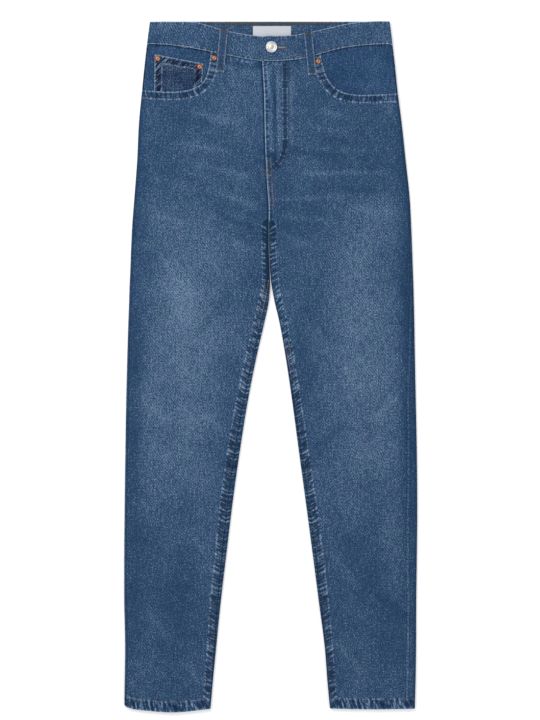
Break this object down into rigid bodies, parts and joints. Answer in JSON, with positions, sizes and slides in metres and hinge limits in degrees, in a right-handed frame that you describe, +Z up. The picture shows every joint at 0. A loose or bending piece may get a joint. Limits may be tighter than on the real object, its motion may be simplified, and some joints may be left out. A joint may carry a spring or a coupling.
{
  "type": "relaxed fit jeans",
  "caption": "Blue denim trousers lying flat on their back, with a high dipped waistband, curved front pockets, fly, belt loops and long tapered legs.",
  "frame": {"origin": "middle of the garment's outline, on the surface that it lies on", "axes": "+Z up from the surface, out of the front of the jeans; +Y towards the waist; +X towards the wearer's left side"},
  "size_m": [0.4402, 1.0363, 0.0134],
  "materials": {
    "denim": "washed indigo twill",
    "zip_tape": "woven tape",
    "label_cloth": "woven satin",
    "button_metal": "nickel plated",
    "rivet_metal": "copper plated"
  },
  "bodies": {
    "root": {"front_right": "denim", "front_left": "denim", "back_right": "denim", "back_left": "denim", "yoke_right": "denim", "yoke_left": "denim", "waistband": "denim", "pocket_facing_right": "denim", "pocket_facing_left": "denim", "coin_pocket": "denim", "back_pocket_right": "denim", "back_pocket_left": "denim", "belt_loop_front_right": "denim", "belt_loop_front_left": "denim", "belt_loop_back_right": "denim", "belt_loop_back_left": "denim", "belt_loop_back_centre": "denim", "zip": "zip_tape", "button": "button_metal", "rivet_coin_outer": "rivet_metal", "rivet_coin_inner": "rivet_metal", "rivet_pocket_right": "rivet_metal", "rivet_pocket_left": "rivet_metal", "inner_label": "label_cloth"}
  },
  "joints": []
}
